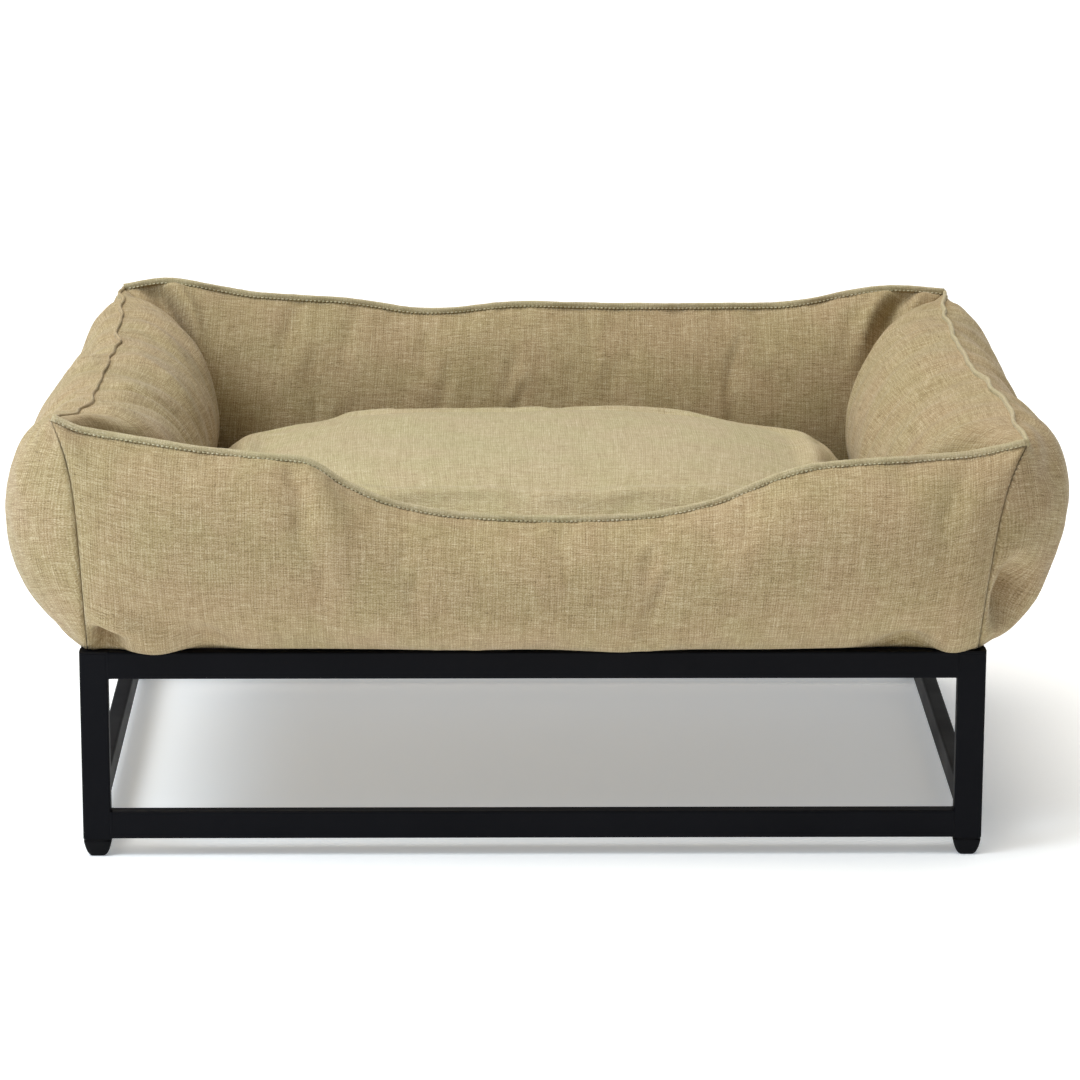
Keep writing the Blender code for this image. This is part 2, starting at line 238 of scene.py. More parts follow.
def new_group(
    name: str, inputs: dict[str, str], outputs: dict[str, str]
) -> tuple[Graph, Sockets, Sockets]:
    """Starts a shared node group.

    Args:
        name: The group's name.
        inputs: Input sockets, name to Float, Color or Vector.
        outputs: Output sockets, the same.

    Returns:
        The group's graph, its inputs by name inside the group, and its output node's sockets by name.
    """
    tree = bpy.data.node_groups.new(name, "ShaderNodeTree")
    for sockets, direction in ((inputs, "INPUT"), (outputs, "OUTPUT")):
        for socket_name, kind in sockets.items():
            tree.interface.new_socket(socket_name, in_out=direction, socket_type=f"NodeSocket{kind}")
    graph = Graph(tree)
    entry = graph.add("NodeGroupInput")
    leave = graph.add("NodeGroupOutput")
    return graph, {n: entry.outputs[n] for n in inputs}, {n: leave.inputs[n] for n in outputs}


def build_weave_group() -> bpy.types.NodeTree:
    """Builds the linen-look weave: upright threads, short crossing slubs, light and dark flecks.

    Returns:
        The node group.
    """
    graph, given, out = new_group(
        "linen_weave",
        {
            "Cloth": "Vector", "Pitch": "Float", "Contrast": "Float",
            "Dark": "Color", "Mid": "Color", "Light": "Color",
        },
        {"Colour": "Color", "Height": "Float", "Shine": "Float"},
    )
    split = graph.add("SeparateXYZ", Vector=given["Cloth"])
    across = graph.maths("DIVIDE", split.outputs[0], given["Pitch"])
    up = graph.maths("DIVIDE", split.outputs[1], given["Pitch"])

    def streaks(crosswise: float, upright: float, seed: float, detail: float = 1.0) -> bpy.types.NodeSocket:
        """Makes streaky noise.

        Args:
            crosswise: Streaks to a thread's width, counted across the threads.
            upright: The same, counted up along them.
            seed: The slice of the noise.
            detail: How finely it breaks up.

        Returns:
            The noise's value.
        """
        x = graph.maths("MULTIPLY", across, crosswise)
        y = graph.maths("MULTIPLY", up, upright)
        return graph.noise(graph.vector(x, y, seed), 1.0, detail, 0.6)

    warp = streaks(1.05, 0.045, 1.3)
    warp_fine = streaks(2.2, 0.16, 9.7)
    weft = streaks(0.11, 1.75, 7.3)
    weft_fine = streaks(0.24, 3.1, 17.9)
    speck = streaks(1.9, 2.3, 3.9, 2.0)
    drift = streaks(0.16, 0.02, 21.5)
    shaken = graph.maths("MULTIPLY_ADD", drift, 2.4, across)
    comb = graph.maths("SINE", graph.maths("MULTIPLY", shaken, math.pi * 2.0))
    light_flecks = graph.ramp(streaks(0.36, 2.2, 31.1), 0.66, 0.78)
    dark_flecks = graph.ramp(streaks(0.34, 2.4, 43.7), 0.66, 0.78)
    tone = graph.maths("MULTIPLY_ADD", comb, 0.022, -0.5)
    shares = ((0.11, warp), (0.12, warp_fine), (0.17, weft), (0.18, weft_fine), (0.42, speck))
    for share, thread in shares:
        tone = graph.maths("MULTIPLY_ADD", thread, share, tone)
    tone = graph.maths("MULTIPLY_ADD", light_flecks, 0.085, tone)
    tone = graph.maths("MULTIPLY_ADD", dark_flecks, -0.105, tone)
    tone = graph.maths("MULTIPLY_ADD", tone, given["Contrast"], 0.5)
    dark = graph.add("MapRange", Value=tone, From_Min=0.25, From_Max=0.5).outputs[0]
    light = graph.add("MapRange", Value=tone, From_Min=0.5, From_Max=0.78).outputs[0]
    body = graph.blend(dark, given["Dark"], given["Mid"])
    graph.tree.links.new(graph.blend(light, body, given["Light"]), out["Colour"])
    graph.tree.links.new(tone, out["Height"])
    graph.tree.links.new(light, out["Shine"])
    return graph.tree


def build_mottle_group() -> bpy.types.NodeTree:
    """Builds slow changes of tone over a surface, and settled dust on what faces up.

    Returns:
        The node group.
    """
    graph, given, out = new_group(
        "slow_mottle",
        {"Place": "Vector", "Size": "Float", "Seed": "Float"},
        {"Mottle": "Float", "Dust": "Float"},
    )
    scale = graph.maths("DIVIDE", 1.0, given["Size"])
    offset = graph.vector(given["Seed"], given["Seed"], given["Seed"])
    place = graph.add("VectorMath", {"operation": "ADD"})
    graph.tree.links.new(given["Place"], place.inputs[0])
    graph.tree.links.new(offset, place.inputs[1])
    slow = graph.add("TexNoise", Vector=place.outputs[0], Scale=scale, Detail=3.0, Roughness=0.55)
    graph.tree.links.new(graph.ramp(slow.outputs["Fac"], 0.30, 0.70), out["Mottle"])
    normal = graph.add("NewGeometry").outputs["Normal"]
    facing = graph.add("SeparateXYZ", Vector=normal).outputs[2]
    speckle = graph.noise(place.outputs[0], 900.0, 2.0, 0.7)
    dust = graph.maths("MULTIPLY", graph.ramp(facing, 0.2, 1.0), graph.ramp(speckle, 0.58, 0.75))
    graph.tree.links.new(dust, out["Dust"])
    return graph.tree


# Finishes.


def new_material(name: str) -> tuple[bpy.types.Material, Graph, bpy.types.Node]:
    """Starts a material.

    Args:
        name: Its name.

    Returns:
        The material, its graph, and its Principled shader.
    """
    material = bpy.data.materials.new(name)
    material.use_nodes = True
    return material, Graph(material.node_tree), material.node_tree.nodes["Principled BSDF"]


@dataclass(frozen=True)
class LinenFinish:
    """Coarse linen-look upholstery cloth, whose middle tone drifts slowly between mid and green."""

    name: str
    pitch: float = 0.0022
    contrast: float = 1.55
    dark: Colour = (0.160, 0.108, 0.052, 1.0)
    mid: Colour = (0.382, 0.277, 0.150, 1.0)
    light: Colour = (0.650, 0.560, 0.390, 1.0)
    green: Colour = (0.362, 0.283, 0.140, 1.0)
    relief: float = 0.55
    depth: float = 0.0006
    mottle_size: float = 0.060
    sheen: float = 0.16
    gloss: float = 0.30

    def make(self, groups: dict[str, bpy.types.NodeTree]) -> bpy.types.Material:
        """Builds the material.

        Args:
            groups: The shared node groups by name.

        Returns:
            The material, which reads the piece's own cloth map in metres.
        """
        material, graph, shader = new_material(self.name)
        cloth = graph.add("UVMap", {"uv_map": "cloth"}).outputs[0]
        place = graph.add("TexCoord").outputs["Object"]
        settings = {"node_tree": groups["mottle"]}
        mottle = graph.add("Group", settings, Place=place, Size=self.mottle_size, Seed=2.0)
        tint = graph.blend(mottle.outputs["Mottle"], self.mid, self.green)
        weave = graph.add(
            "Group", {"node_tree": groups["weave"]}, Cloth=cloth, Pitch=self.pitch,
            Contrast=self.contrast, Dark=self.dark, Mid=tint, Light=self.light,
        )
        graph.feed(shader, "Base Color", weave.outputs["Colour"])
        rough = graph.add("MapRange", Value=weave.outputs["Shine"], To_Min=0.90, To_Max=0.62)
        graph.feed(shader, "Roughness", rough.outputs[0])
        height = weave.outputs["Height"]
        bump = graph.add("Bump", Strength=self.relief, Distance=self.depth, Height=height)
        graph.feed(shader, "Normal", bump.outputs[0])
        graph.feed(shader, "Sheen Weight", self.sheen)
        graph.feed(shader, "Sheen Roughness", 0.45)
        graph.feed(shader, "Sheen Tint", (1.0, 0.96, 0.88, 1.0))
        graph.feed(shader, "Specular IOR Level", self.gloss)
        return material


@dataclass(frozen=True)
class CoatFinish:
    """Matte black powder coat or moulded plastic, with a fine pebbled skin."""

    name: str
    base: Colour = (0.0028, 0.0031, 0.0048, 1.0)
    worn: Colour = (0.0085, 0.0088, 0.0112, 1.0)
    roughness: float = 0.50
    grain: float = 1100.0
    relief: float = 0.16
    gloss: float = 0.07

    def make(self, groups: dict[str, bpy.types.NodeTree]) -> bpy.types.Material:
        """Builds the material.

        Args:
            groups: The shared node groups by name.

        Returns:
            The material, which reads object coordinates.
        """
        material, graph, shader = new_material(self.name)
        place = graph.add("TexCoord").outputs["Object"]
        mottle = graph.add("Group", {"node_tree": groups["mottle"]}, Place=place, Size=0.09, Seed=5.0)
        pebble = graph.noise(place, self.grain, 2.0, 0.5)
        fleck = graph.ramp(graph.noise(place, self.grain * 1.7, 1.0, 0.4), 0.66, 0.80)
        flecked = graph.maths("MULTIPLY", fleck, 0.5)
        share = graph.maths("MULTIPLY_ADD", mottle.outputs["Mottle"], 0.35, flecked)
        share = graph.maths("ADD", share, graph.maths("MULTIPLY", mottle.outputs["Dust"], 0.35))
        graph.feed(shader, "Base Color", graph.blend(share, self.base, self.worn))
        rough = graph.maths("MULTIPLY_ADD", mottle.outputs["Mottle"], 0.10, self.roughness - 0.05)
        graph.feed(shader, "Roughness", graph.maths("MULTIPLY_ADD", mottle.outputs["Dust"], 0.12, rough))
        bump = graph.add("Bump", Strength=self.relief, Distance=0.0002, Height=pebble)
        graph.feed(shader, "Normal", bump.outputs[0])
        graph.feed(shader, "Specular IOR Level", self.gloss)
        return material


@dataclass(frozen=True)
class MetalFinish:
    """Small plated zip hardware."""

    name: str
    base: Colour = (0.42, 0.38, 0.30, 1.0)
    roughness: float = 0.32

    def make(self, groups: dict[str, bpy.types.NodeTree]) -> bpy.types.Material:
        """Builds the material.

        Args:
            groups: The shared node groups by name.

        Returns:
            The material, which reads object coordinates.
        """
        material, graph, shader = new_material(self.name)
        place = graph.add("TexCoord").outputs["Object"]
        mottle = graph.add("Group", {"node_tree": groups["mottle"]}, Place=place, Size=0.01, Seed=8.0)
        dull = tuple(0.6 * value for value in self.base[:3]) + (1.0,)
        graph.feed(shader, "Base Color", graph.blend(mottle.outputs["Mottle"], self.base, dull))
        graph.feed(shader, "Metallic", 0.9)
        rough = graph.maths("MULTIPLY_ADD", mottle.outputs["Mottle"], 0.2, self.roughness)
        graph.feed(shader, "Roughness", rough)
        return material


class Slot(Enum):
    """The record's material slots."""

    STEEL = "powder_coated_steel"
    PLASTIC = "black_plastic"
    LINEN = "sand_linen"
    METAL = "zip_metal"


@dataclass(frozen=True)
class Finishes:
    """Every material of the bed."""

    steel: bpy.types.Material
    plastic: bpy.types.Material
    linen: bpy.types.Material
    # rim: the walls' linen painted lighter, a painted highlight for the rim's top that faces up into the
    # light.
    rim: bpy.types.Material
    # pillow: the walls' linen painted lighter and greener, as painted light from above.
    pillow: bpy.types.Material
    thread: bpy.types.Material
    tape: bpy.types.Material
    metal: bpy.types.Material


def build_finishes() -> Finishes:
    """Makes the shared node groups and then every material.

    Returns:
        The materials.
    """
    groups = {"weave": build_weave_group(), "mottle": build_mottle_group()}
    tape = LinenFinish(
        "zip_tape_cloth",
        pitch=0.0011,
        contrast=1.0,
        dark=(0.16, 0.12, 0.07, 1.0),
        mid=(0.27, 0.21, 0.12, 1.0),
        light=(0.36, 0.30, 0.19, 1.0),
        green=(0.26, 0.21, 0.11, 1.0),
    )
    thread = LinenFinish(
        "sewing_thread",
        pitch=0.0008,
        contrast=1.2,
        dark=(0.26, 0.20, 0.11, 1.0),
        mid=(0.50, 0.44, 0.29, 1.0),
        light=(0.74, 0.69, 0.54, 1.0),
        green=(0.48, 0.45, 0.28, 1.0),
    )
    # The rim seams' cloth: the walls' linen painted lighter, a painted highlight where the rim's top faces up
    # and catches the light.
    rim = LinenFinish(
        "rim_linen_painted_highlight",
        contrast=1.2,
        dark=(0.25, 0.19, 0.10, 1.0),
        mid=(0.445, 0.370, 0.225, 1.0),
        light=(0.68, 0.61, 0.44, 1.0),
        green=(0.435, 0.375, 0.215, 1.0),
    )
    # The cushion's cloth: the walls' linen painted lighter and greener, as painted light falling on its top
    # from above.
    pillow = LinenFinish(
        "cushion_linen_painted_light",
        pitch=0.0021,
        contrast=1.40,
        dark=(0.22, 0.16, 0.085, 1.0),
        mid=(0.440, 0.352, 0.208, 1.0),
        light=(0.70, 0.64, 0.46, 1.0),
        green=(0.420, 0.362, 0.195, 1.0),
    )
    plastic = CoatFinish(
        "moulded_black_plastic", base=(0.0045, 0.0045, 0.0052, 1.0), roughness=0.55, grain=700.0
    )
    return Finishes(
        steel=CoatFinish("black_powder_coat").make(groups),
        plastic=plastic.make(groups),
        linen=LinenFinish("sand_linen_cloth").make(groups),
        rim=rim.make(groups),
        pillow=pillow.make(groups),
        thread=thread.make(groups),
        tape=tape.make(groups),
        metal=MetalFinish("plated_zip_metal").make(groups),
    )


# Mesh making.


def rolled_sheet(along: int, around: int, place: Place, lay: Lay) -> bmesh.types.BMesh:
    """A tube made by rolling up a grid and closing its seam and ends.

    Args:
        along: Faces along the tube.
        around: Faces round the tube.
        place: Where a point goes, from its places along and round, each -1 to 1.
        lay: Its place on the flat cloth in metres, from the same two.

    Returns:
        A closed mesh with the cloth map, and each vertex's two places as layers t and v.
    """
    shape = bmesh.new()
    cloth = shape.loops.layers.uv.new("cloth")
    first = shape.verts.layers.float.new("t")
    second = shape.verts.layers.float.new("v")
    bmesh.ops.create_grid(shape, x_segments=along, y_segments=around, size=1.0)
    for face in shape.faces:
        for corner in face.loops:
            corner[cloth].uv = lay(corner.vert.co.x, corner.vert.co.y)
    for vert in shape.verts:
        vert[first], vert[second] = vert.co.xy
        vert.co = place(vert.co.x, vert.co.y)
    bmesh.ops.remove_doubles(shape, verts=shape.verts[:], dist=MERGE)
    rims = [edge for edge in shape.edges if edge.is_boundary]
    bmesh.ops.holes_fill(shape, edges=rims, sides=0)
    bmesh.ops.recalc_face_normals(shape, faces=shape.faces[:])
    return shape


def flat_roll(length: float, girth: float) -> Lay:
    """The flat cloth of a plain tube, by its length and its girth."""
    return lambda t, v: (t * length / 2.0, v * girth / 2.0)


def box_of(node: str) -> tuple[Vector, Vector]:
    """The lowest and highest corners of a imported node."""
    low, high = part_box(node)
    return Vector(low), Vector(high)


def plain_block(low: Vector, high: Vector) -> bmesh.types.BMesh:
    """Makes a box.

    Args:
        low: Its lowest corner.
        high: Its highest corner.

    Returns:
        The box's mesh.
    """
    shape = bmesh.new()
    bmesh.ops.create_cube(shape, size=1.0)
    bmesh.ops.scale(shape, vec=high - low, verts=shape.verts[:])
    bmesh.ops.translate(shape, vec=(low + high) / 2, verts=shape.verts[:])
    return shape


def rounded_block(low: Vector, high: Vector, radius: float) -> bmesh.types.BMesh:
    """A box between two corners with rounded edges.

    Args:
        low: The lowest corner.
        high: The highest corner.
        radius: The edges' radius.

    Returns:
        The block's mesh.
    """
    shape = plain_block(low, high)
    bmesh.ops.bevel(
        shape,
        geom=shape.edges[:],
        offset=radius,
        offset_type="OFFSET",
        segments=3,
        profile=0.5,
        affect="EDGES",
        material=-1,
        clamp_overlap=True,
    )
    return shape


def link_object(name: str, data: bpy.types.ID) -> bpy.types.Object:
    """Adds an object to the scene, at the origin.

    Args:
        name: Its name.
        data: Its mesh, light or camera.

    Returns:
        The object.
    """
    made = bpy.data.objects.new(name, data)
    bpy.context.scene.collection.objects.link(made)
    return made


def add_piece(
    shape: bmesh.types.BMesh, name: str, body: str, slot: Slot, dress: bpy.types.Material
) -> bpy.types.Object:
    """Turns a mesh into a piece that rides on a body.

    Args:
        shape: The mesh, which is freed.
        name: The piece's name.
        body: The body it rides on.
        slot: The material slot it stands for; not used.
        dress: Its material.

    Returns:
        The new object.
    """
    mesh = bpy.data.meshes.new(name)
    shape.to_mesh(mesh)
    shape.free()
    mesh.shade_smooth()
    mesh.materials.append(dress)
    piece = link_object(name, mesh)
    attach(piece, body)
    log.info("made %s: %d faces", name, len(mesh.polygons))
    return piece


@dataclass(frozen=True)
class Puff:
    """How a stuffed piece is puffed up as cloth under pressure."""

    pressure: float = 4.0
    growth: float = 0.02
    bending: float = 0.6
    stiffness: float = 15.0
    most: float = 0.010
    frames: int = 20

    def apply(self, piece: bpy.types.Object, held: dict[int, float]) -> None:
        """Runs the cloth and keeps its last shape as the mesh.

        Args:
            piece: The stuffed piece, at rest.
            held: Vertex number to how firmly it is held, 0 to 1.
        """
        before = [vert.co.copy() for vert in piece.data.vertices]
        group = piece.vertex_groups.new(name="held")
        for index, weight in held.items():
            group.add([index], weight, "REPLACE")
        cloth = piece.modifiers.new("Cloth", "CLOTH")
        settings = cloth.settings
        settings.quality = 5
        settings.mass = 0.3
        settings.tension_stiffness = self.stiffness
        settings.compression_stiffness = self.stiffness
        settings.shear_stiffness = 5.0
        settings.bending_stiffness = self.bending
        settings.air_damping = 2.0
        settings.use_pressure = True
        settings.uniform_pressure_force = self.pressure
        settings.shrink_min = -self.growth
        settings.vertex_group_mass = "held"
        settings.pin_stiffness = 1.0
        settings.effector_weights.gravity = 0.0
        cloth.collision_settings.use_collision = False
        cloth.point_cache.frame_start = 1
        cloth.point_cache.frame_end = self.frames
        scene = bpy.context.scene
        for step in range(1, self.frames + 1):
            scene.frame_set(step)
        graph = bpy.context.evaluated_depsgraph_get()
        puffed = piece.evaluated_get(graph)
        after = [vert.co.copy() for vert in puffed.data.vertices]
        piece.modifiers.remove(cloth)
        piece.vertex_groups.clear()
        for vert, old, new in zip(piece.data.vertices, before, after):
            move = new - old
            if move.length > self.most:
                move *= self.most / move.length
            vert.co = old + move
        scene.frame_set(1)


def subdivide(piece: bpy.types.Object) -> None:
    """Smooths a piece with one applied level of subdivision surface.

    Args:
        piece: The piece.
    """
    smooth = piece.modifiers.new("Smooth", "SUBSURF")
    smooth.levels = 1
    smooth.render_levels = 1
    smooth.uv_smooth = "PRESERVE_BOUNDARIES"
    graph = bpy.context.evaluated_depsgraph_get()
    finished = bpy.data.meshes.new_from_object(piece.evaluated_get(graph))
    piece.modifiers.remove(smooth)
    old = piece.data
    piece.data = finished
    bpy.data.meshes.remove(old)


# The stuffed bed.


class Wall(Enum):
    """The bed's four walls, each by its quarter turns from the front."""

    FRONT = 0
    RIGHT = 1
    REAR = 2
    LEFT = 3


@dataclass(frozen=True)
class Belly:
    """How one side of a wall swells between the frame and the rim."""

    width: float
    low: float
    high: float

    def at(self, rise: float) -> float:
        """Reads the swelling.

        Args:
            rise: The share of the wall's height.

        Returns:
            How far the side swells there.
        """
        fullest = self.low / (self.low + self.high)
        most = fullest**self.low * (1.0 - fullest) ** self.high
        return self.width * rise**self.low * (1.0 - rise) ** self.high / most


@dataclass(frozen=True)
class Dimple:
    """A fold or lobe in one side of a wall: its place, its reach each way, and how far it stands out."""

    outer: bool
    t: float
    rise: float
    along: float
    upright: float
    depth: float

    def at(self, length: float, tall: float, t: float, v: float) -> float:
        """How far it moves the cloth at a place.

        Args:
            length: Half the wall's length.
            tall: The wall's height there.
            t: The place along the wall.
            v: The place round it.

        Returns:
            The move outwards in metres.
        """
        if (v < 0.0) != self.outer:
            return 0.0
        rise = 0.5 - 0.5 * math.cos(math.pi * v)
        along = (t - self.t) * length / self.along
        upright = (rise - self.rise) * tall / self.upright
        return self.depth * math.exp(-(along**2 + upright**2))


@dataclass(frozen=True)
class WallForm:
    """One wall's own heights, bellies and wrinkles. Places run -1 to 1, anticlockwise seen from above."""

    rim: Knots
    lean: Knots
    outside: Belly
    inside: Belly
    tuck: float
    crease: float = 0.0022
    pucker: float = 0.0014
    ridged: bool = False
    zigzag: float = 0.0
    crease_reach: float = 0.70
    slant: float = 0.0
    fullness: Knots = ((-1.0, 1.0), (1.0, 1.0))
    seam_rise: float = 0.0010
    seam_half_wide: float = 0.0026
    seam_half_tall: float = 0.0033
    # Whether the seam takes the rim cloth with its painted highlight.
    seam_highlighted: bool = True
    dimples: tuple[Dimple, ...] = ()
    seed: float = 0.0


FORMS = {
    Wall.FRONT: WallForm(
        rim=(
            (-1.0, 0.4000), (-0.94, 0.3890), (-0.80, 0.3780), (-0.66, 0.3690), (-0.54, 0.3640),
            (-0.49, 0.3620), (-0.40, 0.3400), (-0.28, 0.3200), (-0.13, 0.3105), (0.05, 0.3080),
            (0.20, 0.3100), (0.35, 0.3215), (0.50, 0.3470), (0.56, 0.3545), (0.66, 0.3590),
            (0.88, 0.3660), (1.0, 0.3770),
        ),
        lean=((-1.0, 0.0), (1.0, 0.0)),
        outside=Belly(0.050, 0.60, 0.56),
        inside=Belly(0.052, 0.30, 0.60),
        tuck=0.006,
        crease=0.0008,
        pucker=0.0010,
        zigzag=0.0012,
        dimples=(
            Dimple(True, -0.962, 0.060, 0.012, 0.011, -0.042),
            Dimple(True, -0.925, 0.170, 0.026, 0.010, 0.012),
            Dimple(True, -0.850, 0.060, 0.026, 0.014, 0.010),
            Dimple(True, -0.730, 0.085, 0.022, 0.014, -0.010),
            Dimple(True, -0.505, 0.860, 0.010, 0.040, -0.004),
            Dimple(True, -0.430, 0.740, 0.016, 0.050, 0.003),
            Dimple(True, 0.190, 0.040, 0.050, 0.012, 0.004),
            Dimple(True, 0.835, 0.035, 0.028, 0.012, -0.013),
            Dimple(True, 0.930, 0.060, 0.022, 0.016, 0.008),
            Dimple(True, 0.880, 0.640, 0.014, 0.060, -0.004),
            Dimple(True, 0.945, 0.420, 0.010, 0.050, 0.003),
        ),
        seed=1.0,
    ),
    Wall.RIGHT: WallForm(
        rim=((-1.0, 0.3770), (-0.8, 0.3830), (-0.6, 0.3860), (0.0, 0.3900), (0.6, 0.3920), (1.0, 0.3950)),
        lean=((-1.0, 0.0), (-0.6, 0.004), (0.0, 0.016), (0.6, 0.014), (1.0, 0.0)),
        outside=Belly(0.048, 0.62, 0.44),
        inside=Belly(0.100, 0.34, 0.46),
        tuck=0.010,
        crease=0.0090,
        crease_reach=0.95,
        slant=3.0,
        zigzag=0.0035,
        ridged=True,
        seam_rise=-0.0004,
        seam_half_wide=0.0021,
        dimples=(
            Dimple(True, -0.925, 0.270, 0.018, 0.028, -0.038),
            Dimple(True, -0.820, 0.200, 0.014, 0.034, 0.007),
            Dimple(True, -0.900, 0.070, 0.020, 0.012, 0.006),
            Dimple(True, -0.860, 0.830, 0.018, 0.016, -0.008),
        ),
        seed=2.0,
    ),
    Wall.REAR: WallForm(
        rim=(
            (-1.0, 0.3950), (-0.88, 0.3985), (-0.57, 0.3810), (-0.23, 0.3805), (0.02, 0.3825), (0.26, 0.3755),
            (0.46, 0.3860), (0.68, 0.3920), (0.90, 0.4060), (1.0, 0.4000),
        ),
        lean=((-1.0, 0.0), (1.0, 0.0)),
        outside=Belly(0.050, 0.60, 0.56),
        inside=Belly(0.052, 0.30, 0.60),
        tuck=0.006,
        crease=0.0006,
        pucker=0.0008,
        zigzag=0.0012,
        dimples=(
            Dimple(False, -0.915, 0.890, 0.010, 0.030, -0.022),
            Dimple(False, -0.955, 0.880, 0.008, 0.026, 0.009),
            Dimple(False, -0.865, 0.840, 0.009, 0.030, 0.007),
            Dimple(False, 0.940, 0.860, 0.011, 0.042, -0.024),
            Dimple(False, 0.890, 0.880, 0.010, 0.034, 0.009),
        ),
        seed=3.0,
    ),
    Wall.LEFT: WallForm(
        rim=((-1.0, 0.4000), (-0.6, 0.3930), (0.0, 0.3870), (0.5, 0.3860), (0.75, 0.3890), (1.0, 0.4000)),
        lean=(
            (-1.0, 0.0), (-0.6, 0.009), (-0.2, 0.018), (0.2, 0.017), (0.6, 0.019), (0.78, 0.016), (1.0, 0.0),
        ),
        outside=Belly(0.050, 0.60, 0.44),
        inside=Belly(0.100, 0.34, 0.46),
        fullness=((-1.0, 0.62), (-0.3, 0.84), (0.4, 1.10), (1.0, 1.0)),
        tuck=0.008,
        crease=0.0105,
        crease_reach=0.95,
        slant=-3.0,
        zigzag=0.0100,
        seam_rise=-0.0004,
        seam_half_wide=0.0017,
        seam_half_tall=0.0029,
        seam_highlighted=False,
        seed=4.0,
    ),
}


@dataclass
class RimLine:
    """The line of a wall's rim, read by the distance along it."""

    points: list[Vector]
    seed: float
    lengths: list[float] = field(init=False)
    sway_most: float = 0.0016
    sway_ends: float = 0.03

    def __post_init__(self) -> None:
        """Adds up the distance to each point."""
        self.lengths = [0.0]
        for first, second in zip(self.points, self.points[1:]):
            self.lengths.append(self.lengths[-1] + (second - first).length)

    @property
    def total(self) -> float:
        """The line's whole length."""
        return self.lengths[-1]

    def at(self, distance: float) -> Vector:
        """Reads the line.

        Args:
            distance: The distance along it.

        Returns:
            The point there.
        """
        for index in range(len(self.points) - 1):
            if distance <= self.lengths[index + 1]:
                span = self.lengths[index + 1] - self.lengths[index]
                share = (distance - self.lengths[index]) / span
                return self.points[index].lerp(self.points[index + 1], share)
        return self.points[-1].copy()

    def heading(self, distance: float, reach: float) -> Vector:
        """The way from the point a reach before a distance to the point a reach after it."""
        return self.at(min(distance + reach, self.total)) - self.at(max(distance - reach, 0.0))

    def sway(self, distance: float) -> float:
        """How far the slack seam leans to one side at a distance."""
        near = smoothstep(min(distance, self.total - distance) / self.sway_ends)
        return self.sway_most * near * noise.noise(Vector((distance * 28.0, self.seed, 0.0)))


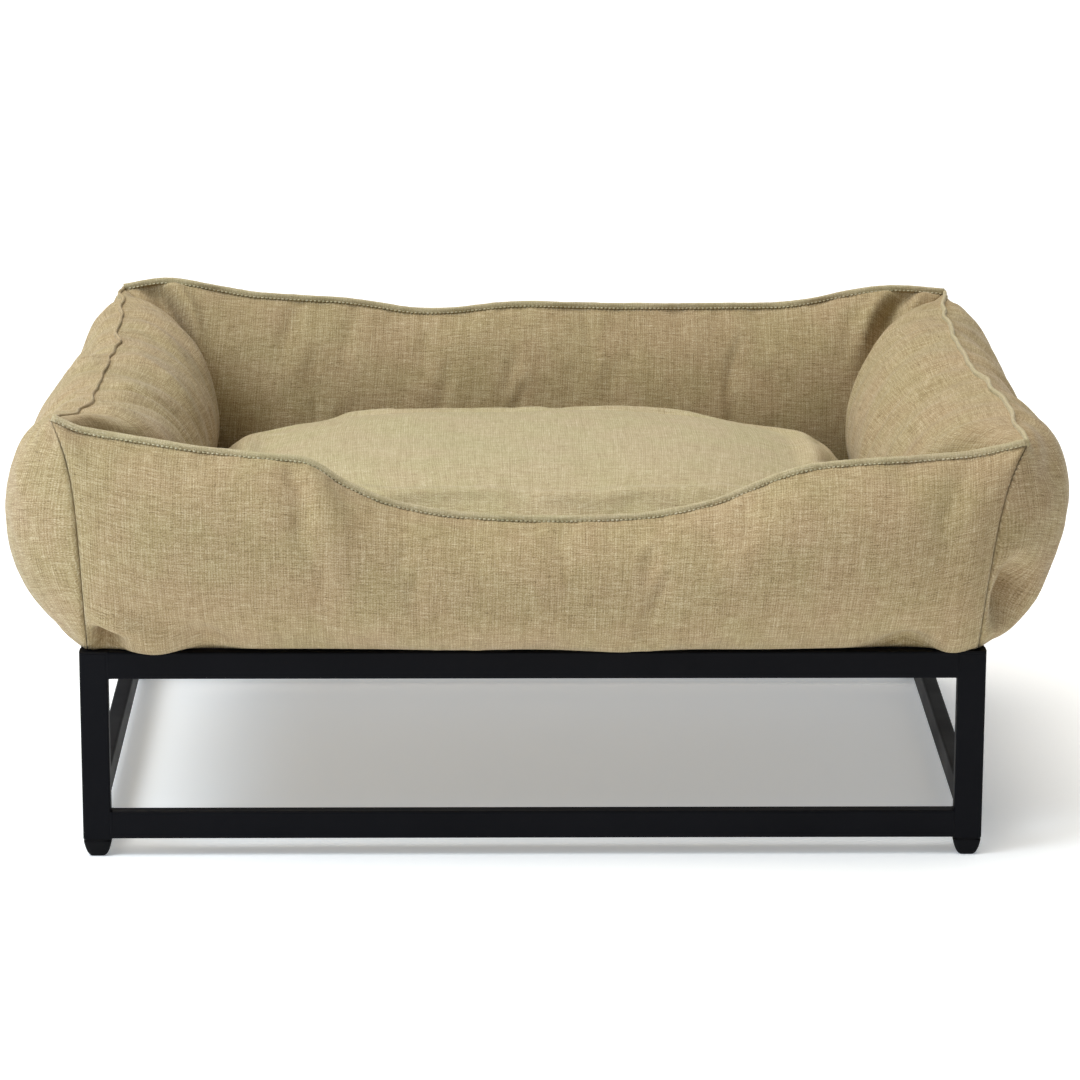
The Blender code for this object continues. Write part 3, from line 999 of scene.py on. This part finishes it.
@dataclass
class StuffedBed:
    """The bed itself: four stuffed walls, their rolled rim seams, and the floor between them."""

    dress: bpy.types.Material
    # The rim seams' cloth, painted lighter than the walls' as a painted highlight on their lit tops.
    rim_highlight_dress: bpy.types.Material
    thread: bpy.types.Material
    rim_half_x: float = field(init=False)
    rim_half_y: float = field(init=False)
    low: float = field(init=False)
    cell: float = 0.0070
    around: int = 84
    reach: tuple[float, float] = (0.120, 0.080)
    base_reach: float = 0.070
    corner_inside: Belly = Belly(0.050, 0.42, 0.60)
    corner_outside: Belly = Belly(0.030, 0.70, 0.70)
    corner_tuck: float = 0.022
    foot_tuck: float = 0.002
    hem_power: float = 8.0
    mitre_gap: float = 0.0005
    floor_inset: float = 0.026
    corner_shift: tuple[float, float, float, float] = (-0.005, 0.016, -0.002, 0.018)
    seam_sink: float = 0.0026
    seam_step: float = 0.004
    seam_girth: float = 0.018
    stitch_pitch: float = 0.0040
    stitch_radius: float = 0.0007
    stitch_length: float = 0.0024

    def __post_init__(self) -> None:
        """Reads the rim line and the underside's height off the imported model."""
        front_low, front_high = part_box("rim_piping_front")
        side_low, side_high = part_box("rim_piping_right")
        self.rim_half_x = (side_low[0] + side_high[0]) / 2
        self.rim_half_y = -(front_low[1] + front_high[1]) / 2
        self.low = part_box("front_bolster_cover")[0][2]

    def half_length(self, wall: Wall) -> float:
        """Half the length of a wall's rim line."""
        return self.rim_half_x if wall.value % 2 == 0 else self.rim_half_y

    def corner(self, rise: float, outer: bool) -> tuple[float, float]:
        """Where a corner seam lies from the rim's corner, along X and Y, positive outwards.

        Args:
            rise: The share of the height.
            outer: Whether it is the outer or the inner seam.

        Returns:
            The two distances.
        """
        foot = (1.0 - rise) ** 8
        if outer:
            tucked = self.corner_outside.at(rise) - self.foot_tuck * foot
            return -self.corner_tuck * (1.0 - rise**6), tucked
        inset = -self.corner_inside.at(rise)
        return inset - self.corner_tuck * foot, inset - self.foot_tuck * foot

    def section(self, wall: Wall, t: float, v: float) -> tuple[float, float, float]:
        """A point on a wall's section.

        Args:
            wall: The wall.
            t: The place along it.
            v: The place round it: -1 at the rim, 0 underneath, 1 at the rim again, outer side first.

        Returns:
            The distance outwards from the rim line, the half length there, and the height.
        """
        form = FORMS[wall]
        length = self.half_length(wall)
        rise = 0.5 - 0.5 * math.cos(math.pi * abs(v))
        outer = v < 0.0
        end_x, end_y = self.corner(rise, outer)
        if wall.value % 2:
            end_x, end_y = end_y, end_x
        near = (1.0 - abs(t)) * length
        swell = 1.0 - (1.0 - min(1.0, near / self.reach[wall.value % 2])) ** 2
        belly = form.outside.at(rise) * along_knots(form.fullness, t) if outer else -form.inside.at(rise)
        settled = smoothstep(near / self.base_reach)
        middle = belly - form.tuck * (1.0 - rise) ** self.hem_power * settled
        width = end_y + (middle - end_y) * swell
        high = along_knots(form.rim, t)
        lean = along_knots(form.lean, t) + self.zigzag(wall, t)
        return width - lean * rise**1.5, length + end_x, self.low + rise * (high - self.low)

    def settle(self, point: Vector) -> Vector:
        """Pulls the rim's corners to where the slack bed lets them lie; the underside stays put.

        Args:
            point: A point of the cloth.

        Returns:
            Where it lies.
        """
        rise = smoothstep((point.z - self.low) / 0.20)
        x = point.x / self.rim_half_x
        y = point.y / self.rim_half_y
        front_left, front_right, rear_right, rear_left = self.corner_shift
        shares = ((1 - x) * (1 - y), (1 + x) * (1 - y), (1 + x) * (1 + y), (1 - x) * (1 + y))
        shift = sum(s * c / 4 for s, c in zip(shares, (front_left, front_right, rear_right, rear_left)))
        return Vector((point.x + shift * rise, point.y, point.z))

    def turn(self, wall: Wall) -> Matrix:
        """The turn from the front wall's place to this wall's."""
        return Matrix.Rotation(wall.value * math.pi / 2, 3, "Z")

    def zigzag(self, wall: Wall, t: float) -> float:
        """Reads the slack rim seam's wandering.

        Args:
            wall: The wall.
            t: The place along it.

        Returns:
            How far the seam lies inwards of its line.
        """
        form = FORMS[wall]
        x = t * self.half_length(wall)
        ends = smoothstep((self.half_length(wall) - abs(x)) / 0.03)
        return form.zigzag * ends * noise.noise(Vector((x * 31.0, form.seed * 2.9, 0.4)))

    def surface(self, wall: Wall, t: float, v: float) -> Vector:
        """Places a point of a wall's cloth.

        Args:
            wall: The wall.
            t: The place along it.
            v: The place round it.

        Returns:
            The point in the world.
        """
        u, half, z = self.section(wall, t, v)
        away = self.rim_half_y if wall.value % 2 == 0 else self.rim_half_x
        return self.settle(self.turn(wall) @ Vector((t * (half - self.mitre_gap), -(away + u), z)))

    def cloth_map(self, wall: Wall, columns: int) -> Lay:
        """Lays a wall's cloth flat: threads stand upright on it and cross level, as the panels are cut.

        Args:
            wall: The wall.
            columns: Columns of faces along it.

        Returns:
            A function from the places along and round to the cloth's own metres.
        """
        heights = {}
        for column in range(columns + 1):
            t = 2.0 * column / columns - 1.0
            for side in (-1, 1):
                risen = 0.0
                last = self.surface(wall, t, 0.0)
                heights[column, 0] = 0.0
                for row in range(1, self.around // 2 + 1):
                    here = self.surface(wall, t, side * 2.0 * row / self.around)
                    risen += (here - last).length
                    heights[column, side * row] = side * risen
                    last = here

        def lay(t: float, v: float) -> tuple[float, float]:
            """Lays a point flat.

            Args:
                t: The place along the wall.
                v: The place round it.

            Returns:
                Its place on the flat cloth.
            """
            _, half, _ = self.section(wall, t, v)
            height = heights[round((t + 1.0) / 2.0 * columns), round(v * self.around / 2.0)]
            return t * half + 2.0 * wall.value, height

        return lay

    def wrinkle(self, wall: Wall, t: float, v: float) -> float:
        """How far the slack cloth stands out at a place: creases off the rim and slow hollows.

        Args:
            wall: The wall.
            t: The place along it.
            v: The place round it.

        Returns:
            The move along the surface normal, in metres.
        """
        form = FORMS[wall]
        length = self.half_length(wall)
        x = t * length
        below = 1.0 - abs(v)
        ends = smoothstep((1.0 - abs(t)) * length / 0.05)
        slow = noise.noise(Vector((x * 7.0, v * 2.2, form.seed * 9.1)))
        crease_place = Vector((x * 26.0 + 1.2 * slow + form.slant * below, v * 1.6, form.seed * 3.7))
        crease = abs(noise.noise(crease_place)) + 0.5 * abs(noise.noise(crease_place * 2.1))
        if form.ridged:
            crease = 0.5 - crease
        low_fade = 1.0 - smoothstep((below - 0.25) / (form.crease_reach - 0.25))
        crease_fade = smoothstep(below / 0.10) * low_fade
        pucker = abs(noise.noise(Vector((x * 60.0, v * 3.0, form.seed * 5.3))))
        pucker_fade = smoothstep(below / 0.04) * (1.0 - smoothstep((below - 0.06) / 0.22))
        rest = smoothstep(abs(v) / 0.16)
        move = 0.0035 * slow * smoothstep(below / 0.25)
        move += form.crease * crease * crease_fade
        move += form.pucker * pucker * pucker_fade
        tall = along_knots(form.rim, t) - self.low
        folds = sum(dimple.at(length, tall, t, v) for dimple in form.dimples)
        end_fade = smoothstep((1.0 - abs(t)) * length / 0.012)
        folds *= end_fade * smoothstep(abs(v) / 0.06) * smoothstep(below / 0.07)
        return move * ends * rest + folds

    def build_wall(self, wall: Wall) -> RimLine:
        """Makes one stuffed wall.

        Args:
            wall: The wall.

        Returns:
            Its rim line, from one corner to the other.
        """
        columns = round(2 * self.half_length(wall) / self.cell)
        shape = rolled_sheet(
            columns, self.around, lambda t, v: self.surface(wall, t, v), self.cloth_map(wall, columns)
        )
        layers = shape.verts.layers.float
        places = {vert: (vert[layers["t"]], vert[layers["v"]]) for vert in shape.verts}
        shape.normal_update()
        moves = {vert: vert.normal * self.wrinkle(wall, *place) for vert, place in places.items()}
        for vert, move in moves.items():
            vert.co += move
        shape.verts.index_update()
        rim = sorted((t, vert.index) for vert, (t, v) in places.items() if abs(v) > AT_EDGE)
        sharp = shape.edges.layers.float.new("crease_edge")
        for edge in shape.edges:
            on_rim = all(abs(places[vert][1]) > AT_EDGE for vert in edge.verts)
            at_end = all(abs(places[vert][0]) > AT_EDGE for vert in edge.verts)
            if on_rim or at_end:
                edge[sharp] = 1.0 if on_rim else 0.8
        held = {}
        for vert, (t, v) in places.items():
            if abs(t) > AT_EDGE or abs(v) > AT_EDGE or abs(v) < 0.10:
                held[vert.index] = 1.0
        name = f"{wall.name.lower()}_bolster"
        piece = add_piece(shape, name, "bed", Slot.LINEN, self.dress)
        Puff(growth=0.009, most=0.008).apply(piece, held)
        line = [piece.data.vertices[index].co.copy() for _, index in rim]
        subdivide(piece)
        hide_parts(f"{name}_cover", f"{name}_fill")
        return RimLine(line, wall.value * 4.0)

    def build_seam(self, wall: Wall, line: RimLine) -> None:
        """Makes the rolled seam that stands on a wall's rim.

        Args:
            wall: The wall.
            line: Its rim line.
        """
        form = FORMS[wall]
        lift = form.seam_half_tall - self.seam_sink + form.seam_rise

        def place(t: float, v: float) -> Vector:
            """Places a point of the seam's skin.

            Args:
                t: The place along the seam.
                v: The place round it.

            Returns:
                The point in the world.
            """
            distance = min(max((t + 1.0) / 2 * line.total, 0.0), line.total)
            here = line.at(distance)
            side, up = sides_of(line.heading(distance, 0.004))
            angle = math.pi * v
            flat = softened(math.sin(angle), 0.8)
            tall = softened(math.cos(angle), 0.8)
            wobble = 1.0 + 0.10 * noise.noise(Vector((distance * 160.0, abs(v) * 2.0, wall.value)))
            level = flat * form.seam_half_wide * wobble + line.sway(distance) * (1.0 + tall)
            upward = tall * form.seam_half_tall * wobble + lift
            return here + (side * level + up * upward)

        steps = max(8, round(line.total / self.seam_step))
        seam = rolled_sheet(steps, 12, place, flat_roll(line.total, self.seam_girth))
        # Most rim seams take the cloth with the painted highlight; the left seam keeps the plain linen.
        dress = self.rim_highlight_dress if form.seam_highlighted else self.dress
        piece = add_piece(seam, f"{wall.name.lower()}_rim_seam", "bed", Slot.LINEN, dress)
        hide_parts(f"rim_piping_{wall.name.lower()}")

    def build_stitches(self, wall: Wall, line: RimLine) -> None:
        """Makes the row of stitches on each side of a wall's rim seam.

        Args:
            wall: The wall.
            line: Its rim line.
        """
        form = FORMS[wall]
        lift = form.seam_half_tall - self.seam_sink + form.seam_rise
        stitches = bmesh.new()
        cloth = stitches.loops.layers.uv.new("cloth")
        for number in range(1, int(line.total / self.stitch_pitch)):
            distance = number * self.stitch_pitch
            here = line.at(distance)
            ahead = line.heading(distance, 0.003).normalized()
            side, up = sides_of(ahead)
            stance = Matrix((side, up, ahead)).transposed().to_4x4()
            for face in (-1.0, 1.0):
                level = face * (form.seam_half_wide + 0.0003) + 0.5 * line.sway(distance)
                offset = side * level + up * (lift - 0.5 * form.seam_half_tall)
                made = bmesh.ops.create_cone(
                    stitches,
                    cap_ends=True,
                    segments=5,
                    radius1=self.stitch_radius,
                    radius2=self.stitch_radius,
                    depth=self.stitch_length,
                    matrix=Matrix.Translation(here + offset) @ stance,
                )
                for vert in made["verts"]:
                    for corner in vert.link_loops:
                        corner[cloth].uv = (distance + 0.3, 0.001 * face)
        add_piece(stitches, f"{wall.name.lower()}_rim_stitches", "bed", Slot.LINEN, self.thread)

    def build_floor(self) -> None:
        """Makes the bed's floor, which runs under the walls' bellies and shows when the cushion is out."""
        low, high = box_of("base_cover")
        high.xy = (self.rim_half_x - self.floor_inset, self.rim_half_y - self.floor_inset)
        low.xy = (-high.x, -high.y)
        shape = plain_block(low, high)
        bmesh.ops.subdivide_edges(shape, edges=shape.edges[:], cuts=24, use_grid_fill=True)
        cloth = shape.loops.layers.uv.new("cloth")
        middle = (low + high) / 2
        half = (high - low) / 2
        for vert in shape.verts:
            x = (vert.co.x - middle.x) / half.x
            y = (vert.co.y - middle.y) / half.y
            edge = max(abs(x), abs(y)) ** 10
            z = (vert.co.z - middle.z) * (1.0 - 0.55 * edge) + middle.z
            if vert.co.z > middle.z:
                z -= 0.0015 * (1.0 + noise.noise(vert.co * 14.0))
            vert.co.z = z
        for face in shape.faces:
            for corner in face.loops:
                corner[cloth].uv = corner.vert.co.xy
        bmesh.ops.recalc_face_normals(shape, faces=shape.faces[:])
        piece = add_piece(shape, "bed_floor", "bed", Slot.LINEN, self.dress)
        subdivide(piece)
        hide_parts("base_cover", "base_pad")

    def build(self) -> None:
        """Makes the walls, their rims and the floor."""
        for wall in Wall:
            line = self.build_wall(wall)
            self.build_seam(wall, line)
            self.build_stitches(wall, line)
        self.build_floor()


@dataclass
class Cushion:
    """The loose cushion and the zip along its rear edge."""

    # The cushion's cloth, painted lighter and greener than the walls' as painted light from above.
    dress: bpy.types.Material
    tape: bpy.types.Material
    metal: bpy.types.Material
    cells: tuple[int, int] = (84, 56)
    corner_round: float = 0.32
    dome_power: float = 3.6
    dome_ease: float = 0.58
    under_ease: float = 0.40
    seam_share: float = 0.36
    tooth_pitch: float = 0.0024
    low: Vector = field(init=False)
    high: Vector = field(init=False)
    middle: Vector = field(init=False)
    half: Vector = field(init=False)
    seam: float = field(init=False)

    def __post_init__(self) -> None:
        """Reads the cushion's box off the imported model, and finds the height of its seam."""
        self.low, self.high = box_of("cushion_cover")
        self.middle = (self.low + self.high) / 2
        self.half = (self.high - self.low) / 2
        self.seam = self.low.z + self.seam_share * (self.high.z - self.low.z)

    def build_pillow(self) -> None:
        """Makes the domed cushion with its seamed edge."""
        shape = bmesh.new()
        cloth = shape.loops.layers.uv.new("cloth")
        for side in (1.0, -1.0):
            made = bmesh.ops.create_grid(shape, x_segments=self.cells[0], y_segments=self.cells[1], size=1.0)
            sheet = set(made["verts"])
            for face in shape.faces:
                if face.verts[0] not in sheet:
                    continue
                for corner in face.loops:
                    flat = corner.vert.co
                    corner[cloth].uv = (flat.x * self.half.x, flat.y * self.half.y + side)
            for vert in sheet:
                vert.co = self.pillow_point(vert.co.x, vert.co.y, side)
        bmesh.ops.remove_doubles(shape, verts=shape.verts[:], dist=MERGE)
        bmesh.ops.recalc_face_normals(shape, faces=shape.faces[:])
        piece = add_piece(shape, "cushion", "cushion", Slot.LINEN, self.dress)
        held = {}
        for vert in piece.data.vertices:
            if vert.co.z < self.low.z + 0.006 or abs(vert.co.z - self.seam) < 1e-4:
                held[vert.index] = 1.0
        Puff(pressure=3.0, growth=0.015, bending=1.5, most=0.008).apply(piece, held)
        subdivide(piece)
        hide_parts("cushion_cover", "cushion_pillow")

    def pillow_point(self, x: float, y: float, side: float) -> Vector:
        """Places a point of the cushion's top or underside.

        Args:
            x: The place across the cushion, -1 to 1.
            y: The place from front to rear, -1 to 1.
            side: 1 on top, -1 underneath.

        Returns:
            The point in the world.
        """
        across = x * math.sqrt(1.0 - self.corner_round * y * y / 2)
        back = y * math.sqrt(1.0 - self.corner_round * x * x / 2)
        dome = max(0.0, 1.0 - abs(x) ** self.dome_power) * max(0.0, 1.0 - abs(y) ** self.dome_power)
        if side > 0:
            z = self.seam + (self.high.z - self.seam) * dome**self.dome_ease
            wave = noise.noise(Vector((across * 2.6, back * 1.9, 4.2)))
            z += 0.0035 * (wave - 0.5) * dome
        else:
            z = self.seam - (self.seam - self.low.z) * min(1.0, 1.25 * dome**self.under_ease)
        return Vector((self.middle.x + across * self.half.x, self.middle.y + back * self.half.y, z))

    def build_zip(self) -> None:
        """Dresses the zip's tape and hardware and adds its teeth."""
        low, high = box_of("cushion_zip_tape")
        dress_node("cushion_zip_tape", self.tape)
        dress_node("zip_slider", self.metal)
        dress_node("zip_pull", self.metal)
        teeth = bmesh.new()
        size = Matrix.Diagonal((0.0012, 0.0009, 0.0034, 1.0))
        z = (low.z + high.z) / 2
        for number in range(int((high.x - low.x) / self.tooth_pitch) - 2):
            x = low.x + (number + 1.5) * self.tooth_pitch
            place = Matrix.Translation((x, high.y + 0.0003, z + 0.0006 * (-1) ** number))
            bmesh.ops.create_cube(teeth, size=1.0, matrix=place @ size)
        add_piece(teeth, "zip_teeth", "cushion", Slot.METAL, self.metal)

    def build(self) -> None:
        """Makes the cushion and its zip."""
        self.build_pillow()
        self.build_zip()


# The frame.


def dress_node(name: str, material: bpy.types.Material) -> None:
    """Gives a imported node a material.

    Args:
        name: The node.
        material: Its new material.
    """
    node = frame["nodes"][name]
    if not node.material_slots:
        node.data.materials.append(material)
    for place in node.material_slots:
        place.material = material


@dataclass
class TubeFrame:
    """The welded frame: dressed tubes, small flush welds at the joints, and the foot glides."""

    steel: bpy.types.Material
    plastic: bpy.types.Material
    weld_back: float = 0.0022
    weld_ahead: float = 0.0030
    weld_proud: float = 0.00012
    weld_round: float = 0.0020

    def dress(self) -> None:
        """Gives every steel and plastic node its finish."""
        for part in frame["record"]["subparts"]:
            if part["material_slot"] == Slot.STEEL.value:
                dress_node(part["node"], self.steel)
            elif part["material_slot"] == Slot.PLASTIC.value:
                dress_node(part["node"], self.plastic)

    def weld(self, node: str, axis: int, end: int) -> None:
        """Fills the joint at one end of a tube, flush with its faces.

        Args:
            node: The tube.
            axis: The axis it runs along, 0 for X and 1 for Y.
            end: 0 at its low end, 1 at its high end.
        """
        low, high = box_of(node)
        proud = Vector([self.weld_proud] * 3)
        low -= proud
        high += proud
        if end == 0:
            high[axis] = low[axis] + self.weld_ahead
            low[axis] -= self.weld_back
        else:
            low[axis] = high[axis] - self.weld_ahead
            high[axis] += self.weld_back
        shape = rounded_block(low, high, self.weld_round)
        side = ("low", "high")[end]
        add_piece(shape, f"{node}_weld_{side}", "frame", Slot.STEEL, self.steel)

    def glide(self, where: str) -> None:
        """Makes a bowl-shaped foot glide under a post.

        Args:
            where: The post's corner, such as front_left.
        """
        low, high = box_of(f"foot_glide_{where}")
        post_low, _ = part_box(f"corner_post_{where}")
        middle = (low + high) / 2
        half_x = (high.x - low.x) / 2
        half_y = (high.y - low.y) / 2
        brim = post_low[2]
        outline = (
            (-1.0, 0.0, 0.0), (-0.92, 0.40, 0.0), (-0.80, 0.56, 0.0009), (-0.62, 0.74, 0.0036),
            (-0.42, 0.88, 0.0078), (-0.24, 0.965, 0.0118), (-0.10, 0.995, 0.0138), (-0.02, 0.985, 0.0146),
            (0.05, 0.91, 0.0148), (0.20, 0.90, brim), (0.34, 0.84, brim), (0.40, 0.83, brim + 0.0006),
            (1.0, 0.83, brim + 0.010),
        )
        share_knots = [(t, share) for t, share, _ in outline]
        height_knots = [(t, z) for t, _, z in outline]

        def place(t: float, v: float) -> Vector:
            """Places a point of the glide's skin.

            Args:
                t: The place along the outline, from the middle underneath to the top.
                v: The place round it.

            Returns:
                The point in the world.
            """
            share = along_knots(share_knots, t)
            height = along_knots(height_knots, t)
            angle = math.pi * v
            power = 0.5 - 0.16 * smoothstep((1.0 - share) * 2.0)
            x = softened(math.cos(angle), power)
            y = softened(math.sin(angle), power)
            return Vector((middle.x + half_x * share * x, middle.y + half_y * share * y, height))

        shape = rolled_sheet(48, 48, place, flat_roll(0.04, 0.08))
        piece = add_piece(shape, f"glide_{where}", "frame", Slot.PLASTIC, self.plastic)
        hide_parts(f"foot_glide_{where}")

    def build(self) -> None:
        """Dresses the frame and makes its welds and glides."""
        self.dress()
        sides = (("front", 0), ("rear", 0), ("left", 1), ("right", 1))
        rails = [(f"{side}_{level}_rail", axis) for level in ("top", "bottom") for side, axis in sides]
        slats = [(name, 1) for name in frame["nodes"] if name.startswith("cross_slat_")]
        for node, axis in rails + slats:
            for end in (0, 1):
                self.weld(node, axis, end)
        for where in ("front_left", "front_right", "rear_left", "rear_right"):
            self.glide(where)


# The studio.


@dataclass
class Studio:
    """A pale floor, soft lights and the camera."""

    lens: float = 151.7
    stand: tuple[float, float, float] = (-0.052, -4.1253, 1.324)
    pitch_deg: float = 15.021
    yaw_deg: float = 0.857
    roll_deg: float = 0.165
    key: float = 24.5
    key_tint: Tint = (0.76, 0.88, 1.0)
    key_size: float = 0.9
    key_place: tuple[float, float, float] = (-1.45, -1.05, 1.70)
    key_aim: tuple[float, float, float] = (0.0, -0.1, 0.3)
    overhead: float = 2.5
    overhead_tint: Tint = (1.0, 0.955, 0.865)
    overhead_way: tuple[float, float, float] = (0.20, 0.04, -0.98)
    overhead_spread_deg: float = 55.0
    around: tuple[float, float] = (0.36, 0.0)
    behind: float = 0.50
    floor_glow: float = 0.29
    floor_glow_tint: Colour = (0.88, 0.94, 1.0, 1.0)

    def build_camera(self) -> None:
        """Places the camera in front of the bed, looking slightly down."""
        data = bpy.data.cameras.new("camera")
        data.lens = self.lens
        data.sensor_width = 36.0
        data.clip_end = 60.0
        camera = link_object("camera", data)
        turn = Matrix.Rotation(math.radians(-self.yaw_deg), 4, "Z")
        tilt = Matrix.Rotation(math.radians(90.0 - self.pitch_deg), 4, "X")
        roll = Matrix.Rotation(math.radians(self.roll_deg), 4, "Z")
        camera.matrix_world = Matrix.Translation(self.stand) @ turn @ tilt @ roll
        bpy.context.scene.camera = camera

    def build_floor(self) -> None:
        """Lays a wide pale floor, a sheet lit softly from beneath as on a light table."""
        shape = bmesh.new()
        bmesh.ops.create_grid(shape, x_segments=1, y_segments=1, size=14.0)
        mesh = bpy.data.meshes.new("studio_floor")
        shape.to_mesh(mesh)
        shape.free()
        material, graph, shader = new_material("pale_floor")
        graph.feed(shader, "Base Color", (0.98, 0.98, 0.98, 1.0))
        graph.feed(shader, "Roughness", 0.9)
        graph.feed(shader, "Emission Color", self.floor_glow_tint)
        graph.feed(shader, "Emission Strength", self.floor_glow)
        mesh.materials.append(material)
        link_object("studio_floor", mesh)

    def build_light(self, kind: str, name: str, way: Vector, power: float, tint: Tint) -> bpy.types.Object:
        """Adds one light.

        Args:
            kind: Blender's own word for its type.
            name: Its name.
            way: The direction that it faces.
            power: Its power.
            tint: Its colour.

        Returns:
            The light, at the origin.
        """
        data = bpy.data.lights.new(name, kind)
        data.energy = power
        data.color = tint
        light = link_object(name, data)
        light.rotation_euler = way.to_track_quat("-Z", "Y").to_euler()
        return light

    def build_lights(self) -> None:
        """Adds the cool key light at the front left and a very soft warm light overhead."""
        place = Vector(self.key_place)
        key = self.build_light("AREA", "key_left", Vector(self.key_aim) - place, self.key, self.key_tint)
        key.location = place
        key.data.size = self.key_size
        way = Vector(self.overhead_way)
        sun = self.build_light("SUN", "soft_overhead", way, self.overhead, self.overhead_tint)
        sun.data.angle = math.radians(self.overhead_spread_deg)

    def build_world(self) -> None:
        """Surrounds the room with white light, which fades to the right and is strongest behind."""
        world = bpy.data.worlds.new("studio_world")
        world.use_nodes = True
        graph = Graph(world.node_tree)
        way = graph.add("SeparateXYZ", Vector=graph.add("TexCoord").outputs["Generated"])
        left, right = self.around
        strength = graph.add(
            "MapRange", Value=way.outputs[0], From_Min=-1.0, From_Max=1.0, To_Min=left, To_Max=right
        )
        rear = graph.add(
            "MapRange", Value=way.outputs[1], From_Min=0.0, From_Max=1.0, To_Min=0.0, To_Max=self.behind
        )
        background = world.node_tree.nodes["Background"]
        graph.feed(background, "Strength", graph.maths("ADD", strength.outputs[0], rear.outputs[0]))
        graph.feed(background, "Color", (1.0, 1.0, 1.0, 1.0))
        bpy.context.scene.world = world

    def build(self) -> None:
        """Builds the whole studio."""
        bpy.context.scene.view_settings.view_transform = "Standard"
        self.build_camera()
        self.build_floor()
        self.build_lights()
        self.build_world()


def main() -> None:
    """Builds the studio, the frame, the bed and the cushion."""
    logging.basicConfig(level=logging.INFO, format="%(name)s: %(message)s")
    finishes = build_finishes()
    Studio().build()
    TubeFrame(finishes.steel, finishes.plastic).build()
    StuffedBed(finishes.linen, finishes.rim, finishes.thread).build()
    Cushion(finishes.pillow, finishes.tape, finishes.metal).build()
    bpy.context.view_layer.update()


if __name__ == "__main__":
    main()
